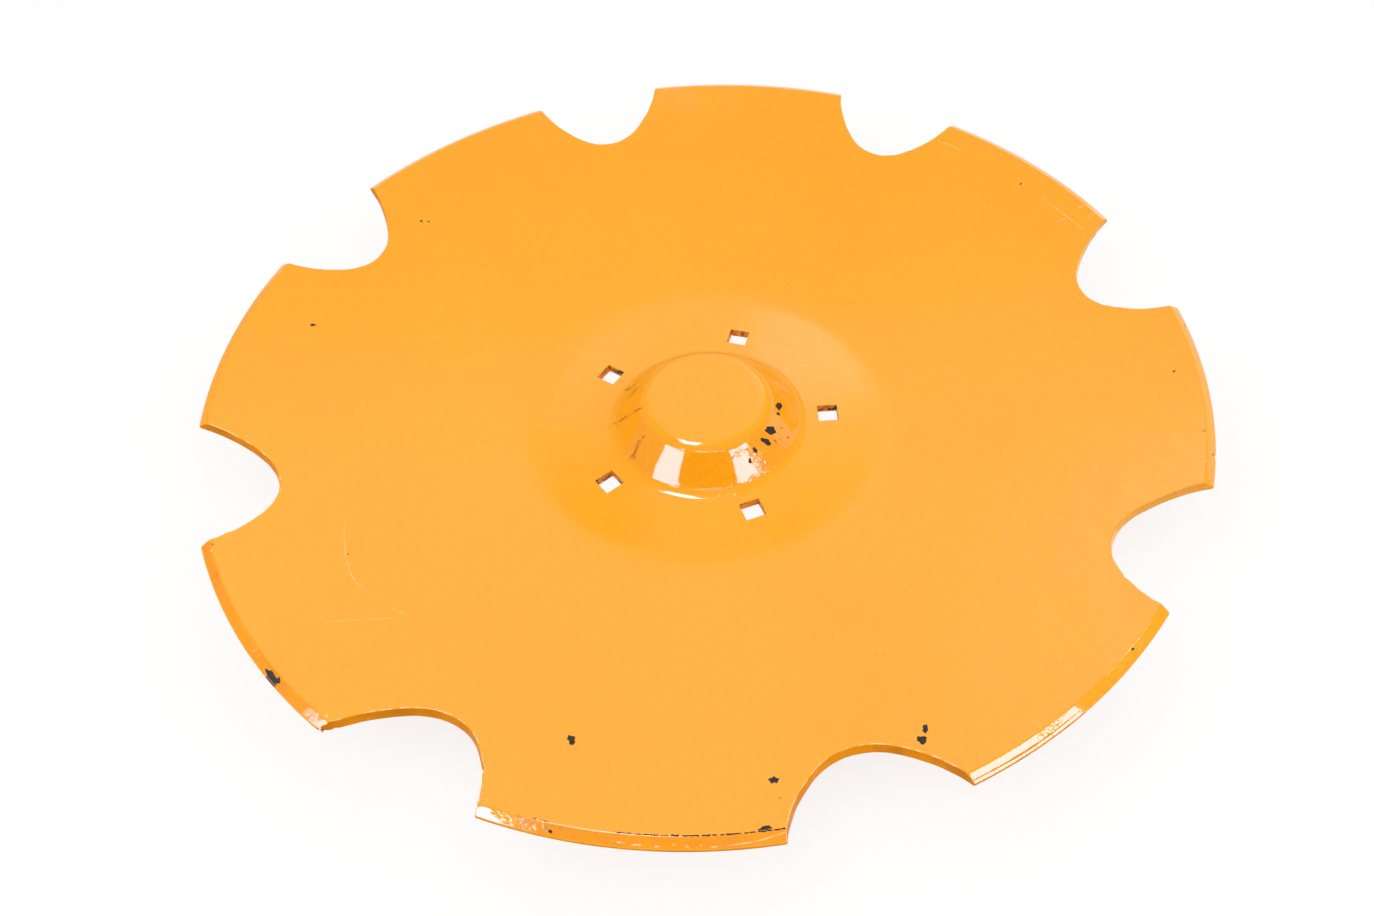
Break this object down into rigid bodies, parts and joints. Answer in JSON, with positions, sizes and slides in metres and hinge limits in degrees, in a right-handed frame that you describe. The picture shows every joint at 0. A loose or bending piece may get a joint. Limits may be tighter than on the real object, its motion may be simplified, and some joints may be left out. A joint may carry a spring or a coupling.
{
  "type": "harrow disc blade",
  "caption": "Dished, notched harrow disc blade with a bevelled rim, a boss pressed up in its middle and square bolt holes in a flat ring.",
  "frame": {"origin": "on the disc's axis, level with the underside of its flat ring", "axes": "+Z along the disc's axis, out of its hollow side; -X out through the middle of a bolt hole and of a tooth of the rim"},
  "size_m": [0.6099, 0.6098, 0.0594],
  "materials": {
    "paint": "glossy orange paint with small chips down to dark steel"
  },
  "bodies": {
    "root": {"disc_blade": "paint"}
  },
  "joints": []
}
